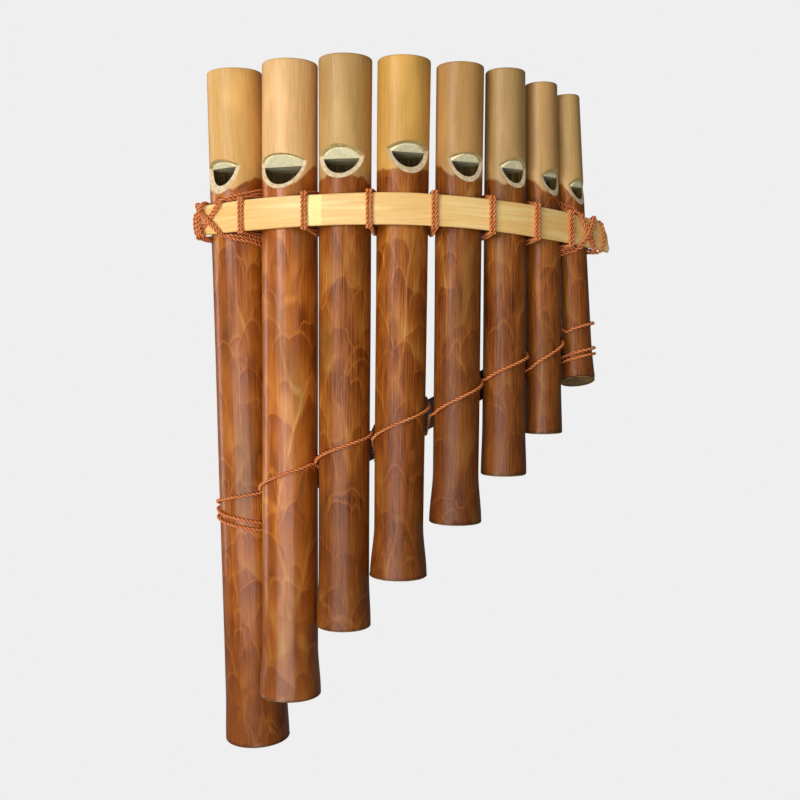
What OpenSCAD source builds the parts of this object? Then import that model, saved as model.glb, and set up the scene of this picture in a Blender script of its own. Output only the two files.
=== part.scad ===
// Pan flute of eight bamboo pipes with whistle mouths, tied to split-bamboo strips with twine.
// Millimetres, +Z up, pipes upright, mouth ends up. The player's side, with the windows, faces -Y.
// The origin is the middle of the footprint, level with the foot of the longest pipe.
// Every list holds one value for each pipe, the longest first and running towards +X.

/* [Pipes] */
// Length of each pipe
pipe_len = [244.7, 222.9, 197, 177.7, 157.4, 140.4, 123.2, 104.8]; // [90:0.1:260]
// Outer diameter at the mouth
mouth_d = [19.8, 19.9, 18.9, 18.5, 16.5, 14.2, 11.9, 10.3]; // [9:0.1:20]
// Outer diameter where the foot begins to flare
waist_d = [23.0, 20.0, 18.1, 17.6, 16.1, 15.3, 13.2, 11.7]; // [9:0.1:23]
// Outer diameter at the foot, over the natural node
foot_d = [24.0, 22.2, 19.4, 20.4, 18.6, 16.2, 13.8, 13.0]; // [10:0.1:24]
// Height of each mouth above the middle of the band
mouth_above = [51.7, 52.3, 52.4, 51.3, 49.7, 49.0, 46.0, 43.5]; // [40:0.1:60]
// Sideways lean of each foot, towards +X
lean_side = [1.4, -0.2, -0.35, -0.7, -0.5, 0, 0.8, 2.9]; // [-2:0.1:4]
// Backward lean of each foot
lean_back = [1.6, -0.6, -0.2, 0, 0, 0, 0, 0]; // [-1:0.1:3]
// Wall thickness at the narrowest stretch
wall = [1.1, 1.0, 1.0, 0.95, 0.85, 0.75, 0.65, 0.6]; // [0.6:0.05:1.6]
// Thickness of the natural node that closes each foot
node_t = 3; // [2:0.5:5]
// Slant of the saw cut across the shortest pipe's foot, higher in front
last_foot_slant = 18; // [0:1:25]

/* [Row] */
// Radius of the arc on which the pipes stand
row_r = 105; // [100:1:130]
// Heading of the row at the longest pipe
row_start = -35.2; // [-40:0.1:-25]
// Clear gap after each pipe, which the lashings pass through
pipe_gap = [2.0, 1.4, 1.6, 2.2, 1.4, 1.4, 1.3]; // [1.3:0.1:2.5]

/* [Windows] */
// Direction that each window faces, from -Y towards +X
window_turn = [-36, -18, -11, 17, 22, 31, 41, 45]; // [-60:1:60]
// Distance from the mouth down to the corners of the window
window_down = [33.7, 34.4, 33.7, 30.8, 32.1, 33.1, 32.6, 32.1]; // [28:0.1:38]
// Half of the angle that the window takes of the pipe's round
window_half = [49, 60, 59, 56, 54, 54, 51, 56]; // [45:1:62]
// Rise from the corners to the top of the window
window_rise = [2.1, 2.1, 3.4, 2.4, 1.9, 2.6, 2.6, 2.5]; // [1.5:0.1:4]
// Fall from the corners to the foot of the window
window_fall = [9.7, 9.9, 8.0, 8.4, 8.0, 7.6, 6.7, 6.9]; // [6:0.1:11]
// Fall from the corners to the lower edge of the block
block_fall = [0.8, 2.2, 1.2, 1.2, 1.2, 1.0, 0.3, 0.8]; // [0:0.1:3]
// Depth of the windway shaved off each block
windway = [0.3, 0.3, 0.3, 0.3, 0.3, 0.4, 1.1, 0.5]; // [0.3:0.1:1.2]

/* [Strips] */
// Thickness of the split-bamboo strips
strip_t = 1.6; // [1.2:0.1:2]
// Width of the front and rear bands
band_w = 10.8; // [9:0.1:13]
// Width of the slanting strip, measured upright
slant_w = 10.9; // [9:0.1:13]
// Length of the bands beyond the longest pipe and the shortest pipe
band_end = [9.4, 12.5]; // [9:0.1:14]
// Drop of the bands' ends below their crest
band_drop = [1.4, 6.8]; // [0:0.1:8]
// Length of the rounded top corner at each end of the bands
tip_len = [2.5, 6]; // [1:0.5:8]
// Fall of the rounded top corner at each end of the bands
tip_fall = [3.5, 8.5]; // [1:0.5:9]
// Height of the slanting strip at the middle of the row
slant_z = 117.9; // [110:0.1:125]
// Rise of the slanting strip for each millimetre towards the shortest pipe
slant_rise = 0.546; // [0.4:0.001:0.6]

/* [Twine] */
// Diameter of the twine
cord_d = 1.15; // [1:0.05:1.3]
// Turns of twine round both bands, outside the longest pipe and the shortest pipe
end_turns = [3, 1]; // [1:4]
// Length of band left bare beyond those turns
end_bare = [0.3, 3.2]; // [0:0.1:4]

/* [Hidden] */
$fn = 48;
count = len(pipe_len);
last = count - 1;
edge_r = 0.7;
flare_len = 18;
play = 0.25;
block_play = 0.02;
block_lift = 0.3;
cord_r = cord_d / 2;
cord_sides = 8;
cord_play = 0.1;
cord_pitch = cord_d + cord_play;
lash_off = cord_r + cord_play / 2;
slant_end = 5;
end_bow = 1.1;
scoop = 0.7;
big = 60;

// Sides of the footprint, measured from the foot of the row, so that the origin is in its middle
row_x = -59.31;
row_y = 6.14;

// Crest of the bands' gentle bow, seen from the front
crest_x = -13;

// Twine over the pipes' fronts: height at the middle of each pipe, half its rise, and its bow
cord_mid = [93.5, 103.2, 112.9, 121.2, 129.2, 139.6, 143.2, 153.9];
cord_rise = [2.6, 5.4, 5.2, 6.0, 6.4, 5.6, 6.8, 3.0];
cord_bow = 1.3;
// 1 where the twine goes over the slanting strip first, -1 where it goes under it first
cord_first = [-1, -1, 1, 1, 1, 1, -1];
// Turns round an end pipe and the strip behind it: angle from the front, height, and distance
// kept from the pipe
first_turns = [
    [-110, 85.5, 0], [-70, 84.4, 0], [-30, 82.9, 0], [10, 81.3, 0], [50, 79.9, 0], [90, 78.9, 0],
    [130, 79.2, 0.4], [160, 80.9, 2.6], [180, 82.6, 2.0], [202, 84.8, 3.1], [235, 86.8, 0.2],
    [270, 87.4, 0], [310, 86.4, 0], [350, 84.9, 0], [390, 83.2, 0], [430, 81.7, 0], [460, 81.0, 0],
    [490, 81.4, 0.4], [520, 82.8, 2.6], [540, 84.3, 2.0], [562, 86.2, 3.1], [595, 87.8, 0.2]
];
last_turns = [
    [148, 152.9, 3.9], [180, 148.6, 2.0], [208, 143, 2.9], [235, 140.8, 0.4], [270, 141.9, 0],
    [310, 143.6, 0], [350, 144.9, 0], [390, 145.9, 0], [430, 146.6, 0], [470, 146.6, 0],
    [508, 145.4, 3.9], [540, 142.4, 2.0], [568, 139.8, 2.9], [595, 138.9, 0.4], [630, 140.2, 0],
    [670, 141.8, 0], [710, 143, 0], [750, 144, 0], [800, 144.6, 0]
];

// Small vector helpers
function unit(v) = v / norm(v);
function mix(a, b, t) = a * (1 - t) + b * t;
function ease(t) = t * t * (3 - 2 * t);
function dir(a) = [cos(a), sin(a)];
function front(a) = [sin(a), -cos(a)];

// Pipe sizes
function arm(i) = pipe_len[i] - mouth_above[i];
function tilt(i) = acos(cos(lean_side[i]) * cos(lean_back[i]));
function rim_drop(i) = (foot_d[i] / 2 - edge_r) * sin(tilt(i)) + edge_r * (1 - cos(tilt(i)));
band_z = arm(0) * cos(tilt(0)) + rim_drop(0);
function bore_r(i) = min(mouth_d[i], waist_d[i]) / 2 - wall[i];
function bore_z(i) = node_t + (i == last ? foot_d[i] * tan(last_foot_slant) / 2 : 0);
function shaft_r(i, up) =
    mix(waist_d[i], mouth_d[i], (up - flare_len) / (pipe_len[i] - flare_len)) / 2;
function pipe_r(i, up) = up < flare_len
    ? mix(foot_d[i], waist_d[i], ease(max(up, 0) / flare_len)) / 2
    : shaft_r(i, up);
function window_r(i) = pipe_r(i, pipe_len[i] - window_down[i]);
function band_r(i) = pipe_r(i, arm(i));

// Places of the pipes' axes, level with the band: each follows from the one before it
function spacing(i) = band_r(i) + band_r(i + 1) + pipe_gap[i];
function heading(i) = i == 0 ? row_start : heading(i - 1) + spacing(i - 1) / row_r * 180 / PI;
function chord_heading(i) = (heading(i) + heading(i + 1)) / 2;
function station(i) = i == 0
    ? [row_x, row_y]
    : station(i - 1) + spacing(i - 1) * dir(chord_heading(i - 1));
function axis_at(i, z) = station(i) + (band_z - z) * [tan(lean_side[i]), tan(lean_back[i])];
function radius_at(i, z) = pipe_r(i, z - band_z + arm(i));

// Smooth curve through points: n steps between each pair
function pick(p, i, closed) = closed
    ? p[(i + len(p)) % len(p)]
    : (i < 0 ? 2 * p[0] - p[1] : i >= len(p) ? 2 * p[len(p) - 1] - p[len(p) - 2] : p[i]);
function between(a, b, c, d, t) =
    (2 * b + (c - a) * t + (2 * a - 5 * b + 4 * c - d) * t * t
        + (3 * b - a - 3 * c + d) * t * t * t) / 2;
function smooth(p, n, closed) = [
    for (i = [0 : len(p) - (closed ? 1 : 2)], k = [0 : n - 1])
        between(pick(p, i - 1, closed), p[i], pick(p, i + 1, closed),
            pick(p, i + 2, closed), k / n),
    if (!closed) p[len(p) - 1]
];

// Sweep of a round cord along a route. A closed route carries its rings by a fixed direction,
// and an open one turns them as little as it can.
function along(p, i, closed) = unit(pick(p, i + 1, closed) - pick(p, i - 1, closed));
function square_to(v, t) = unit(v - (v * t) * t);
function carried(p, i, u) = square_to(u, along(p, i, false));
function sides_of(p, i, u) = i >= len(p)
    ? []
    : concat([carried(p, i, u)], sides_of(p, i + 1, carried(p, i, u)));
function ring(c, t, u, r) = [
    for (k = [0 : cord_sides - 1])
        c + r * (cos(360 * k / cord_sides) * u + sin(360 * k / cord_sides) * cross(t, u))
];
function wrap(i, k, n) = (i % n) * cord_sides + k % cord_sides;

module cord(p, up = [0, 0, 1], closed = false) {
    n = len(p);
    u = closed ? [for (i = [0 : n - 1]) square_to(up, along(p, i, true))] : sides_of(p, 0, up);
    points = [for (i = [0 : n - 1]) each ring(p[i], along(p, i, closed), u[i], cord_r)];
    skin = [
        for (i = [0 : n - (closed ? 1 : 2)], k = [0 : cord_sides - 1]) each [
            [wrap(i, k, n), wrap(i + 1, k, n), wrap(i + 1, k + 1, n)],
            [wrap(i, k, n), wrap(i + 1, k + 1, n), wrap(i, k + 1, n)]
        ]
    ];
    ends = closed ? [] : [
        [for (k = [0 : cord_sides - 1]) k],
        [for (k = [cord_sides - 1 : -1 : 0]) (n - 1) * cord_sides + k]
    ];
    polyhedron(points, concat(skin, ends), convexity = 8);
}

// A pipe's own frame: foot at the origin, mouth up, before its leans
module at_pipe(i) {
    translate([station(i)[0], station(i)[1], band_z])
        rotate([lean_back[i], -lean_side[i], 0])
            translate([0, 0, -arm(i)])
                children();
}

// Cut across the front of a pipe, its outline drawn outwards from the axis, corners at height 0
function apex(i) = window_r(i) * cos(window_half[i]);
function depth(i) = window_r(i) - apex(i);
module across(i, outline) {
    rotate([0, 0, window_turn[i]])
        translate([0, 0, pipe_len[i] - window_down[i]])
            rotate([90, 0, 90])
                linear_extrude(height = big, center = true)
                    polygon([for (p = outline) [-apex(i) - p[0] * depth(i), p[1]]]);
}

// Opening: straight above its corners and hollowed below them
module window_cut(i) {
    across(i, concat(
        [[0, 0], [2, 2 * window_rise[i]]],
        [for (u = [2, 1, 0.6, 0.3, 0.1]) [u, -window_fall[i] * pow(u, scoop)]]
    ));
}

// Slant of the block's end, from the window's top edge inside the wall down to the block's foot
module block_cut(i) {
    u = 1 - wall[i] / depth(i);
    slope = (window_rise[i] * u + block_fall[i]) / u;
    across(i, [
        [0, -block_fall[i]], [2, 2 * slope - block_fall[i]],
        [2, -window_fall[i]], [0, -window_fall[i]]
    ]);
}

// Half outline of a pipe: closed foot, flared over the node, with sanded edges
function pipe_outline(i) = concat(
    [[0, 0]],
    [for (a = [-90 : 30 : 0]) [foot_d[i] / 2 - edge_r, edge_r] + edge_r * dir(a)],
    [for (u = [0.2 : 0.2 : 0.8]) [pipe_r(i, u * flare_len), u * flare_len]],
    [[waist_d[i] / 2, flare_len]],
    [for (a = [0 : 30 : 90]) [mouth_d[i] / 2 - edge_r, pipe_len[i] - edge_r] + edge_r * dir(a)],
    [[bore_r(i), pipe_len[i]], [bore_r(i), bore_z(i)], [0, bore_z(i)]]
);

module pipe(i) {
    color([0.66, 0.38, 0.17])
        at_pipe(i)
            difference() {
                rotate_extrude()
                    polygon(pipe_outline(i));
                window_cut(i);
                if (i == last)
                    foot_slant(i);
            }
}

// Slanting saw cut that turns the shortest pipe's foot towards the player
module foot_slant(i) {
    translate([0, foot_d[i] / 2, 0])
        rotate([-last_foot_slant, 0, 0])
            translate([-big / 2, -big, -big])
                cube([big, 2 * big, big]);
}

// Whistle block: fills the bore above the window, with the windway shaved off its front
module block(i) {
    block_h = window_down[i] + block_fall[i] - block_lift;
    color([0.88, 0.82, 0.58])
        at_pipe(i)
            difference() {
                translate([0, 0, pipe_len[i] - block_h])
                    cylinder(r = bore_r(i) - block_play, h = block_h - edge_r);
                block_cut(i);
                rotate([0, 0, window_turn[i]])
                    translate([-big / 2, -bore_r(i) - big + windway[i], 0])
                        cube([big, big, pipe_len[i] + big]);
            }
}

// Strips: a bent plan, upright, kept where the elevation has it.
// side is 1 in front of the pipes and -1 behind them.
function touch(i, z, side) =
    axis_at(i, z) + side * (radius_at(i, z) + play + strip_t / 2) * front(heading(i));
function band_route(side) = concat(
    [touch(0, band_z, side) - band_end[0] * dir(heading(0))],
    [for (i = [0 : last]) touch(i, band_z, side)],
    [touch(last, band_z, side) + band_end[1] * dir(heading(last))]
);
function slant_height(x) = slant_z + slant_rise * x;
function slant_touch(i) = touch(i, slant_height(station(i)[0]), -1);
slant_route = concat(
    [slant_touch(0) - slant_end * dir(heading(0))],
    [for (i = [0 : last]) slant_touch(i)],
    [slant_touch(last) + slant_end * dir(heading(last))]
);
// Place halfway between pipes i and i + 1 on a strip's route, whose first point is its end
function halfway(route, i) = between(route[i], route[i + 1], route[i + 2], route[i + 3], 0.5);
function band_height(x) =
    band_z - (x < crest_x
        ? band_drop[0] * pow((x - crest_x) / (band_route(1)[0][0] - crest_x), 2)
        : band_drop[1] * pow((x - crest_x) / (band_route(1)[count + 1][0] - crest_x), 2));

// Fall of the bands' top edge where their end corners are rounded
function tip_turn(x, end) = 1 - abs(x - end[0]) / end[1];
function tip_drop(x, side) =
    let (path = band_route(side),
        turned = [tip_turn(x, [path[0][0], tip_len[0]]), tip_turn(x, [path[count + 1][0], tip_len[1]])],
        end = turned[0] > turned[1] ? 0 : 1, u = min(max(turned[end], 0), 1))
        tip_fall[end] * (1 - sqrt(1 - u * u));

// Plan of a strip, drawn upright to a height above every strip
module bent(route) {
    p = smooth(route, 4, false);
    n = len(p);
    side = [
        for (i = [0 : n - 1])
            let (t = along(p, i, false)) strip_t / 2 * [t[1], -t[0]]
    ];
    linear_extrude(height = pipe_len[0])
        polygon(concat(
            [for (i = [0 : n - 1]) p[i] + side[i]],
            [for (i = [n - 1 : -1 : 0]) p[i] - side[i]]
        ));
}

// Outline seen from the front, drawn through the whole depth of the row
module elevation(outline) {
    rotate([90, 0, 0])
        linear_extrude(height = 2 * big, center = true)
            polygon(outline);
}

module band(side) {
    reach = 90;
    step = 1.5;
    spots = [-reach : step : reach];
    back = [reach : -step : -reach];
    color([0.89, 0.74, 0.46])
        intersection() {
            bent(band_route(side));
            elevation(concat(
                [for (x = spots) [x, band_height(x) - band_w / 2]],
                [for (x = back) [x, band_height(x) + band_w / 2 - tip_drop(x, side)]]
            ));
        }
}

module slanting_strip() {
    reach = 90;
    color([0.55, 0.40, 0.24])
        intersection() {
            bent(slant_route);
            elevation([
                [-reach, slant_height(-reach) - slant_w / 2],
                [reach, slant_height(reach) - slant_w / 2],
                [reach, slant_height(reach) + slant_w / 2],
                [-reach, slant_height(-reach) + slant_w / 2]
            ]);
        }
}

// Lashing between pipes i and i + 1: two turns round both bands, side by side on the bands
// and one above the other where they pass between the pipes.
function lash_corner(c, z, through, a) =
    [each (c + (strip_t / 2 + lash_off * cos(a)) * through), z + lash_off * sin(a)];
function lash_turn(i, turn) =
    let (a = halfway(band_route(1), i), b = halfway(band_route(-1), i),
        through = unit(b - a), beside = [through[1], -through[0]],
        shift = (turn - 0.5) * cord_pitch * beside,
        za = band_height(a[0]), zb = band_height(b[0]), zg = (za + zb) / 2,
        gap = station(i) + (band_r(i) + pipe_gap[i] / 2) * dir(chord_heading(i)),
        half = band_w / 2, stack = half + lash_off + turn * cord_pitch)
        concat(
            [for (t = [90 : -45 : 0]) lash_corner(a + shift, za + half, -through, t)],
            [for (t = [0 : -45 : -90]) lash_corner(a + shift, za - half, -through, t)],
            [[each gap, zg - stack]],
            [for (t = [-90 : 45 : 0]) lash_corner(b + shift, zb - half, through, t)],
            [for (t = [0 : 45 : 90]) lash_corner(b + shift, zb + half, through, t)],
            [[each gap, zg + stack]]
        );

module lashing(i) {
    a = halfway(band_route(1), i);
    b = halfway(band_route(-1), i);
    beside = [(b - a)[1], (a - b)[0], 0];
    color([0.78, 0.42, 0.22])
        for (turn = [0, 1])
            cord(lash_turn(i, turn), beside, true);
}

// Lashing at an end of the bands, in the end pipe's own directions:
// t along the row and outwards, n towards the player, z up from the band's middle.
function end_way(i) = i == 0 ? -1 : 1;
function end_place(i, t, n, z) =
    let (xy = station(i) + end_way(i) * t * dir(heading(i)) + n * front(heading(i)))
        [each xy, band_height(xy[0]) + z];
function end_route(i, p) = smooth([for (q = p) end_place(i, q[0], q[1], q[2])], 3, true);
function on_round(r, a) = [-r * sin(a), r * cos(a)];
// Turn that crosses the band: k counts the parallel turns, up is the sign of its slope
function crossing(i, k, up) =
    let (r = band_r(i), on_pipe = r + cord_r + cord_play, on_band = on_pipe + play + strip_t,
        half = band_w / 2, over = half + cord_r + cord_play, d = k * cord_pitch,
        lift = up < 0 ? cord_pitch : 0, stack = half + lash_off + 2 * cord_pitch + d,
        right = [
            [-r - 0.9, 0, up * stack],
            [each on_round(on_pipe + 0.1, 60), up * (over + 1.2 + d)],
            [each on_round(on_pipe + 0.1, 30), up * (over + 0.2 + 0.9 * d)],
            [-1.9 - d, on_pipe + 1, up * (over + 0.1)],
            [-1.1 - d, on_band + 0.1, up * (half - 0.9)],
            [0.2 * r - d, on_band + lift, up * 0.2 * half],
            [0.65 * r - d, on_band + lift / 2, -up * 0.5 * half],
            [0.9 * r - d / 2, on_band - 0.5, -up * (over - 0.1)],
            [on_pipe + 0.3 + d / 2, on_pipe / 2, -up * (over - 0.6)],
            [on_pipe + 0.2 + d, 0, -up * (over - 1.4)]
        ])
        end_route(i, concat(right, [for (j = [8 : -1 : 1]) [right[j][0], -right[j][1], right[j][2]]]));
// Upright turn round both bands, outside the end pipe, bowed outwards at its middle
function end_of(i) = i == 0 ? 0 : 1;
function upright(i, k) =
    let (e = end_of(i), n = end_turns[e], r = band_r(i),
        out = r + play + strip_t + cord_r + 2 * cord_play + (n - 1) / 2 * cord_pitch,
        t = band_end[e] - end_bare[e] - cord_r - end_bow - k * cord_pitch,
        side = max(t, r + cord_r + 2 * cord_play + (n - 1 - k) * cord_pitch),
        over = band_w / 2 + cord_r + cord_play,
        high = over - tip_drop(end_place(i, t, out, 0)[0], 1),
        leg = [for (z = [high, -over])
            [[t, 1.6 - out, z], [side, 0, z * 1.03], [t, out - 1.6, z], [t + end_bow / 2, out, 0.7 * z]]])
        end_route(i, concat(
            leg[0],
            [[t + end_bow, out, 0]],
            [for (j = [3 : -1 : 0]) leg[1][j]],
            [[t + end_bow / 2, -out, -0.7 * over], [t + end_bow, -out, 0]],
            [[t + end_bow / 2, -out, 0.7 * high]]
        ));

module end_lashing(i) {
    color([0.78, 0.42, 0.22]) {
        for (k = [0, 1], up = [1, -1])
            cord(crossing(i, k, up), [0, 0, 1], true);
        for (k = [0 : end_turns[end_of(i)] - 1])
            cord(upright(i, k), [each dir(heading(i)), 0], true);
    }
}

// Lower twine: two turns round the longest pipe, over each front and round the strip in each
// gap, then two turns round the shortest pipe.
function on_front(i, a) =
    let (z = cord_mid[i] + cord_rise[i] * a / 90 - cord_bow * pow(a / 90, 2))
        [each (axis_at(i, z) + (radius_at(i, z) + cord_r + 2 * cord_play) * front(a)), z];
function front_run(i) =
    let (a0 = i == 0 ? -110 : chord_heading(i - 1) - 68,
        a1 = i == last ? 110 : chord_heading(i) + 68)
        [for (k = [0 : 8]) on_front(i, mix(a0, a1, k / 8))];
function gap_run(i) =
    let (c = halfway(slant_route, i), z = slant_height(c[0]), g = chord_heading(i),
        mid = mix(axis_at(i, z) + radius_at(i, z) * dir(g),
            axis_at(i + 1, z) - radius_at(i + 1, z) * dir(g), 0.5),
        back = -front(g), s = cord_first[i],
        off = cord_r + 2 * cord_play, edge = slant_w / 2 + off, t = strip_t / 2,
        z_in = front_run(i)[8][2] + s * cord_pitch,
        z_out = front_run(i + 1)[0][2] - s * cord_pitch)
        [
            [each mid, z_in],
            [each (c - t * back), z + s * edge],
            [each (c + t * back), z + s * edge],
            [each (c + (t + off) * back), z + s * (edge - off)],
            [each (c + (t + off) * back), z - s * (edge - off)],
            [each (c + t * back), z - s * edge],
            [each (c - t * back), z - s * edge],
            [each mid, z_out]
        ];
function turns(i, list) = smooth([
    for (row = list)
        let (reach = radius_at(i, row[1]) + cord_r + 2 * cord_play + row[2])
            [each (axis_at(i, row[1]) + reach * front(row[0])), row[1]]
], 2, false);

module lower_cord() {
    color([0.78, 0.42, 0.22])
        cord(concat(
            turns(0, first_turns),
            front_run(0),
            [for (i = [1 : last]) each concat(gap_run(i - 1), front_run(i))],
            turns(last, last_turns)
        ));
}

pipe(0);  // pipe_1
pipe(1);  // pipe_2
pipe(2);  // pipe_3
pipe(3);  // pipe_4
pipe(4);  // pipe_5
pipe(5);  // pipe_6
pipe(6);  // pipe_7
pipe(7);  // pipe_8
block(0);  // block_1
block(1);  // block_2
block(2);  // block_3
block(3);  // block_4
block(4);  // block_5
block(5);  // block_6
block(6);  // block_7
block(7);  // block_8
band(1);  // front_band
band(-1);  // rear_band
slanting_strip();
lashing(0);  // lashing_1_2
lashing(1);  // lashing_2_3
lashing(2);  // lashing_3_4
lashing(3);  // lashing_4_5
lashing(4);  // lashing_5_6
lashing(5);  // lashing_6_7
lashing(6);  // lashing_7_8
end_lashing(0);  // end_lashing_long
end_lashing(last);  // end_lashing_short
lower_cord();
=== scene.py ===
"""Looks of a bamboo pan flute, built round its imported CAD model.

Pipes, strips and twine are made again in full detail from the CAD model's driving sizes, and each
one stands for its CAD node. The whistle blocks keep their CAD meshes. Shapes are worked out in
millimetres and turned into metres as each mesh is made.
"""
import math

import bpy
import numpy as np
from mathutils import Euler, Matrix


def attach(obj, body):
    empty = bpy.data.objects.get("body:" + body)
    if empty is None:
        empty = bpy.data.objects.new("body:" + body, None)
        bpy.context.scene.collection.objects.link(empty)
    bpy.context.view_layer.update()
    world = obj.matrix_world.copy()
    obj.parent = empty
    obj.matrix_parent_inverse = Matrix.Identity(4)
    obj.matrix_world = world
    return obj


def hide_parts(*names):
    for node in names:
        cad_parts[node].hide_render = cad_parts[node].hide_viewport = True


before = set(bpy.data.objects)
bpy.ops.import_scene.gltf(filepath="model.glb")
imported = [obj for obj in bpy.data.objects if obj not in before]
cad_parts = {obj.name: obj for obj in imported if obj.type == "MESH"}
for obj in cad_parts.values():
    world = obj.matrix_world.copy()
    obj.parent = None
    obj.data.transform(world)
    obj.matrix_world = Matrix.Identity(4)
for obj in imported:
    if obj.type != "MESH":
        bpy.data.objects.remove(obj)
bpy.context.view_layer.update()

MM = 0.001

# Driving sizes, as in the CAD model: one value for each pipe, the longest first
PIPE_LEN = [244.7, 222.9, 197, 177.7, 157.4, 140.4, 123.2, 104.8]
MOUTH_D = [19.8, 19.9, 18.9, 18.5, 16.5, 14.2, 11.9, 10.3]
WAIST_D = [23.0, 20.0, 18.1, 17.6, 16.1, 15.3, 13.2, 11.7]
FOOT_D = [24.0, 22.2, 19.4, 20.4, 18.6, 16.2, 13.8, 13.0]
MOUTH_ABOVE = [51.7, 52.3, 52.4, 51.3, 49.7, 49.0, 46.0, 43.5]
LEAN_SIDE = [1.4, -0.2, -0.35, -0.7, -0.5, 0, 0.8, 2.9]
LEAN_BACK = [1.6, -0.6, -0.2, 0, 0, 0, 0, 0]
WALL = [1.1, 1.0, 1.0, 0.95, 0.85, 0.75, 0.65, 0.6]
NODE_T = 3
LAST_FOOT_SLANT = 18
ROW_R = 105
ROW_START = -35.2
PIPE_GAP = [2.0, 1.4, 1.6, 2.2, 1.4, 1.4, 1.3]
WINDOW_TURN = [-36, -18, -11, 17, 22, 31, 41, 45]
WINDOW_DOWN = [33.7, 34.4, 33.7, 30.8, 32.1, 33.1, 32.6, 32.1]
WINDOW_HALF = [49, 60, 59, 56, 54, 54, 51, 56]
WINDOW_RISE = [2.1, 2.1, 3.4, 2.4, 1.9, 2.6, 2.6, 2.5]
WINDOW_FALL = [9.7, 9.9, 8.0, 8.4, 8.0, 7.6, 6.7, 6.9]
STRIP_T = 1.6
BAND_W = 10.8
SLANT_W = 10.9
BAND_END = [9.4, 12.5]
BAND_DROP = [1.4, 6.8]
TIP_LEN = [2.5, 6]
TIP_FALL = [3.5, 8.5]
SLANT_Z = 117.9
SLANT_RISE = 0.546
SLANT_END = 5
CORD_D = 1.15
END_TURNS = [3, 1]
END_BARE = [0.3, 3.2]
END_BOW = 1.1
SCOOP = 0.7
EDGE_R = 0.7
FLARE_LEN = 18
PLAY = 0.25
CORD_PLAY = 0.1
ROW_FOOT = [-59.31, 6.14]
CREST_X = -13
CORD_MID = [93.5, 103.2, 112.9, 121.2, 129.2, 139.6, 143.2, 153.9]
CORD_RISE = [2.6, 5.4, 5.2, 6.0, 6.4, 5.6, 6.8, 3.0]
CORD_BOW = 1.3
CORD_FIRST = [-1, -1, 1, 1, 1, 1, -1]
RUN_END = 110
RUN_TO_GAP = 68
FIRST_TURNS = [
    [-110, 85.5, 0], [-70, 84.4, 0], [-30, 82.9, 0], [10, 81.3, 0], [50, 79.9, 0], [90, 78.9, 0],
    [130, 79.2, 0.4], [160, 80.9, 2.6], [180, 82.6, 2.0], [202, 84.8, 3.1], [235, 86.8, 0.2],
    [270, 87.4, 0], [310, 86.4, 0], [350, 84.9, 0], [390, 83.2, 0], [430, 81.7, 0], [460, 81.0, 0],
    [490, 81.4, 0.4], [520, 82.8, 2.6], [540, 84.3, 2.0], [562, 86.2, 3.1], [595, 87.8, 0.2],
]
LAST_TURNS = [
    [148, 152.9, 3.9], [180, 148.6, 2.0], [208, 143, 2.9], [235, 140.8, 0.4], [270, 141.9, 0],
    [310, 143.6, 0], [350, 144.9, 0], [390, 145.9, 0], [430, 146.6, 0], [470, 146.6, 0],
    [508, 145.4, 3.9], [540, 142.4, 2.0], [568, 139.8, 2.9], [595, 138.9, 0.4], [630, 140.2, 0],
    [670, 141.8, 0], [710, 143, 0], [750, 144, 0], [800, 144.6, 0],
]

COUNT = len(PIPE_LEN)
LAST = COUNT - 1
CORD_R = CORD_D / 2
CORD_PITCH = CORD_D + CORD_PLAY
LASH_OFF = CORD_R + CORD_PLAY / 2

# Looks of each pipe: distance from the mouth down to the edge of the stain, how much lower that edge
# runs beside the window, and the colour of the bare bamboo above it
STAIN_DOWN = [38.5, 36, 42.6, 37.5, 34.5, 37.5, 33.5, 31.5]
STAIN_DIP = [3.5, 6.5, -2, 0.5, 4, 2, 4.5, 5.5]
BARE = [
    (232, 182, 104), (243, 194, 130), (202, 160, 96), (222, 170, 82),
    (190, 143, 80), (188, 150, 93), (202, 158, 98), (214, 173, 108),
]
# Lacquer: its tones from dark to pale with their places on the ramp, then for each pipe how much they
# are darkened, how glossy the coat is, and how much the fibres and the grey haze show. The scales'
# layers have a width, a height in widths and a shift.
LACQUER_AT = [0.05, 0.3, 0.52, 0.75, 1.0]
LACQUER = [(50, 8, 0), (120, 46, 4), (196, 106, 28), (232, 148, 58), (255, 204, 124)]
DARKNESS = [0.13, 0.08, 0.2, 0.18, 0.26, 0.22, 0.2, 0.16]
COAT = [0.4, 0.5, 0.16, 0.14, 0.12, 0.12, 0.12, 0.12]
FIBRE = [0.7, 0.6, 1.2, 1.25, 1.3, 1.3, 1.3, 1.2]
GREYNESS = [0.2, 0.0, 0.05, 0.0, 0.1, 0.1, 0.1, 0.2]
SCALES = [(15, 2.0, 3.0), (11, 1.7, 11.0), (9, 2.2, 37.0)]


# Plan and pipes, worked out as in the CAD model

def mix(a, b, t):
    return a * (1 - t) + b * t


def ease(t):
    return t * t * (3 - 2 * t)


def along_x(a):
    return np.array([math.cos(math.radians(a)), math.sin(math.radians(a))])


def front(a):
    return np.array([math.sin(math.radians(a)), -math.cos(math.radians(a))])


def arm(i):
    return PIPE_LEN[i] - MOUTH_ABOVE[i]


def pipe_r(i, up):
    up = np.asarray(up, float)
    flared = mix(FOOT_D[i], WAIST_D[i], ease(np.clip(up / FLARE_LEN, 0, 1)))
    shaft = mix(WAIST_D[i], MOUTH_D[i], (up - FLARE_LEN) / (PIPE_LEN[i] - FLARE_LEN))
    return np.where(up < FLARE_LEN, flared, shaft) / 2


def bore_r(i):
    return min(MOUTH_D[i], WAIST_D[i]) / 2 - WALL[i]


def bore_z(i):
    slanted = FOOT_D[i] * math.tan(math.radians(LAST_FOOT_SLANT)) / 2 if i == LAST else 0
    return NODE_T + slanted


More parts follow.
